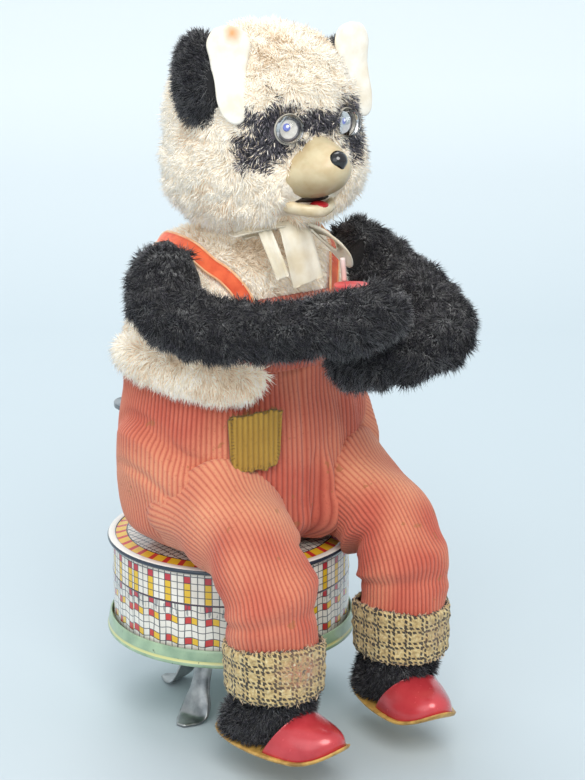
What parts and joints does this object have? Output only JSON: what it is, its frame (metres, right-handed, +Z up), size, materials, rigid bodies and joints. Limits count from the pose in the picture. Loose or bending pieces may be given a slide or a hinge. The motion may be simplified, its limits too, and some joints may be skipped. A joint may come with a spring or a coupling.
{
  "type": "wind-up seated plush panda toy",
  "caption": "Seated plush and tin clockwork panda in corduroy dungarees on a round printed tin stool, with lifting arms, a nodding head and a winding key at the back.",
  "frame": {"origin": "on the floor, under the middle of the toy's bounding box", "axes": "+Z up, -Y the way the animal faces, -X its right side"},
  "size_m": [0.109, 0.1469, 0.2421],
  "materials": {
    "print_tin": "gloss",
    "green_tin": "gloss",
    "leg_steel": "satin",
    "frame_steel": "satin",
    "arbor_steel": "satin",
    "spring_steel": "satin",
    "brass": "satin",
    "fan_tin": "satin",
    "key_steel": "polished",
    "body_tin": "satin",
    "plush_cream": "matte",
    "plush_black": "matte",
    "corduroy": "matte",
    "strap_cloth": "matte",
    "tweed": "matte",
    "patch_cloth": "matte",
    "ribbon": "satin",
    "ear_felt": "matte",
    "face_vinyl": "satin",
    "nose_black": "gloss",
    "eye_clear": "gloss",
    "shoe_red": "gloss",
    "sole_ochre": "gloss",
    "block_red": "gloss",
    "fin_pale": "satin"
  },
  "bodies": {
    "root": {"stool_drum": "print_tin", "stool_seat": "print_tin", "stool_base": "green_tin", "stool_leg_1": "leg_steel", "stool_leg_2": "leg_steel", "stool_leg_3": "leg_steel", "stool_leg_4": "leg_steel", "stool_bolt": "leg_steel", "frame_plate_front": "frame_steel", "frame_plate_back": "frame_steel", "neck_bracket": "frame_steel", "body_shell_front": "body_tin", "body_shell_back": "body_tin", "plush_chest": "plush_cream", "dungarees_body": "corduroy", "dungarees_bib": "corduroy", "belly_patch": "patch_cloth", "neck_bow": "ribbon", "trouser_leg_right": "corduroy", "trouser_leg_left": "corduroy", "suspender_right": "strap_cloth", "suspender_left": "strap_cloth", "leg_wire_right": "frame_steel", "leg_wire_left": "frame_steel", "cuff_right": "tweed", "cuff_left": "tweed", "ankle_fur_right": "plush_black", "ankle_fur_left": "plush_black", "shoe_toe_cap_right": "shoe_red", "shoe_toe_cap_left": "shoe_red", "shoe_sole_right": "sole_ochre", "shoe_sole_left": "sole_ochre"},
    "winder": {"winding_key": "key_steel", "ratchet_arbor": "arbor_steel"},
    "barrel": {"mainspring_barrel": "brass", "mainspring": "spring_steel"},
    "click": {"click": "brass"},
    "second": {"second_wheel": "brass"},
    "crank": {"crank_wheel": "brass", "crank_disc": "arbor_steel"},
    "governor": {"governor_fan": "fan_tin"},
    "arm_right": {"arm_sleeve_right": "plush_black", "arm_lever_right": "frame_steel"},
    "link_right": {"arm_link_right": "frame_steel"},
    "arm_left": {"arm_sleeve_left": "plush_black", "arm_lever_left": "frame_steel", "red_block": "block_red", "red_block_fin": "fin_pale"},
    "link_left": {"arm_link_left": "frame_steel"},
    "head": {"head_shell": "face_vinyl", "head_plush": "plush_cream", "muzzle": "face_vinyl", "nose": "nose_black", "head_bracket": "frame_steel", "eye_right": "eye_clear", "eye_left": "eye_clear", "ear_lining_right": "ear_felt", "ear_lining_left": "ear_felt", "ear_back_right": "plush_black", "ear_back_left": "plush_black"}
  },
  "joints": [
    {"name": "key_wind", "type": "hinge", "parent": "root", "child": "winder", "pos_m": [0, 0.021, 0.1], "axis": [0, 1, 0], "continuous": true},
    {"name": "barrel_turn", "type": "hinge", "parent": "root", "child": "barrel", "pos_m": [0, 0.021, 0.1], "axis": [0, 1, 0], "continuous": true},
    {"name": "click_lift", "type": "hinge", "parent": "root", "child": "click", "pos_m": [0.0115, 0.021, 0.107], "axis": [0, 1, 0], "range_deg": [0, 15], "stiffness_Nm_per_rad": 0.004, "springref_deg": -5.73},
    {"name": "second_turn", "type": "hinge", "parent": "root", "child": "second", "pos_m": [-0.01358, 0.021, 0.11358], "axis": [0, 1, 0], "continuous": true},
    {"name": "crank_turn", "type": "hinge", "parent": "root", "child": "crank", "pos_m": [-0.00199, 0.021, 0.12263], "axis": [0, 1, 0], "continuous": true},
    {"name": "governor_turn", "type": "hinge", "parent": "root", "child": "governor", "pos_m": [0.00822, 0.021, 0.12614], "axis": [0, 1, 0], "continuous": true},
    {"name": "arm_right_lift", "type": "hinge", "parent": "root", "child": "arm_right", "pos_m": [0, 0.001, 0.16], "axis": [-1, 0, 0], "range_deg": [-3, 18]},
    {"name": "arm_left_lift", "type": "hinge", "parent": "root", "child": "arm_left", "pos_m": [0, 0.001, 0.16], "axis": [-1, 0, 0], "range_deg": [-7.5, 1.5]},
    {"name": "link_right_swing", "type": "hinge", "parent": "arm_right", "child": "link_right", "pos_m": [0, 0.011, 0.16], "axis": [-1, 0, 0], "range_deg": [-18.5, 3.5]},
    {"name": "link_left_swing", "type": "hinge", "parent": "arm_left", "child": "link_left", "pos_m": [0, 0.011, 0.16], "axis": [-1, 0, 0], "range_deg": [-1.5, 7.5]},
    {"name": "head_nod", "type": "hinge", "parent": "root", "child": "head", "pos_m": [0, 0.009, 0.177], "axis": [1, 0, 0], "range_deg": [-5, 9]}
  ],
  "couplings": [
    {"joint": "second_turn", "follows": "barrel_turn", "ratio": -3},
    {"joint": "crank_turn", "follows": "barrel_turn", "ratio": 9.6},
    {"joint": "governor_turn", "follows": "barrel_turn", "ratio": -33.6},
    {"joint": "arm_left_lift", "follows": "arm_right_lift", "ratio": -0.4},
    {"joint": "link_right_swing", "follows": "arm_right_lift", "ratio": -1},
    {"joint": "link_left_swing", "follows": "arm_right_lift", "ratio": 0.4}
  ]
}
